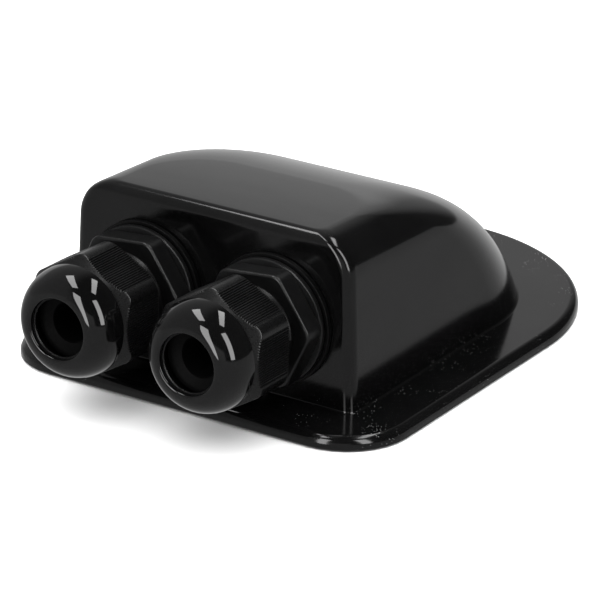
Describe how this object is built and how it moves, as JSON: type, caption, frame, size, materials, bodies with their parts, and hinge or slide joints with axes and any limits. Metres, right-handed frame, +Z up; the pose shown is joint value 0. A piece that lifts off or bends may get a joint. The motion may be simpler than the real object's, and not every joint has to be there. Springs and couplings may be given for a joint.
{
  "type": "cable gland housing",
  "caption": "Roof cable entry: a hollow hood on a wide glue flange, with screwed nylon cable glands side by side in its upright front wall.",
  "frame": {"origin": "middle of the bounding box seen from above, at the flange's underside", "axes": "+Z up from the surface it is glued to, +Y towards the falling rear of the hood, the cable glands point along -Y, and X = 0 is the plane of symmetry"},
  "size_m": [0.0932, 0.1366, 0.0401],
  "materials": {
    "hood_plastic": "polished black moulded plastic",
    "gasket_rubber": "matte black sheet rubber",
    "gland_nylon": "satin black nylon",
    "cage_nylon": "satin black nylon",
    "seal_rubber": "matte black rubber",
    "cap_nylon": "polished black nylon with fluted flats",
    "nut_nylon": "satin black nylon"
  },
  "bodies": {
    "housing": {"hood": "hood_plastic", "left_gasket": "gasket_rubber", "left_gland_body": "gland_nylon", "left_lock_nut": "nut_nylon", "right_gasket": "gasket_rubber", "right_gland_body": "gland_nylon", "right_lock_nut": "nut_nylon"},
    "left_clamp": {"left_clamp_cage": "cage_nylon", "left_seal": "seal_rubber"},
    "left_cap": {"left_cap": "cap_nylon"},
    "right_clamp": {"right_clamp_cage": "cage_nylon", "right_seal": "seal_rubber"},
    "right_cap": {"right_cap": "cap_nylon"}
  },
  "joints": [
    {"name": "left_clamp_slide", "type": "slide", "parent": "housing", "child": "left_clamp", "axis": [0, -0.9999, 0.0166], "range_m": [-0.0042, 0.003]},
    {"name": "left_cap_turn", "type": "hinge", "parent": "left_clamp", "child": "left_cap", "pos_m": [-0.0158, -0.03689, 0.0199], "axis": [0, -0.9999, 0.0166], "range_deg": [-1008, 720]},
    {"name": "right_clamp_slide", "type": "slide", "parent": "housing", "child": "right_clamp", "axis": [0, -0.9999, 0.0166], "range_m": [-0.0042, 0.003]},
    {"name": "right_cap_turn", "type": "hinge", "parent": "right_clamp", "child": "right_cap", "pos_m": [0.0158, -0.03689, 0.0199], "axis": [0, -0.9999, 0.0166], "range_deg": [-1008, 720]}
  ],
  "couplings": [
    {"joint": "left_cap_turn", "follows": "left_clamp_slide", "rad_per_m": 4188.8},
    {"joint": "right_cap_turn", "follows": "right_clamp_slide", "rad_per_m": 4188.8}
  ]
}
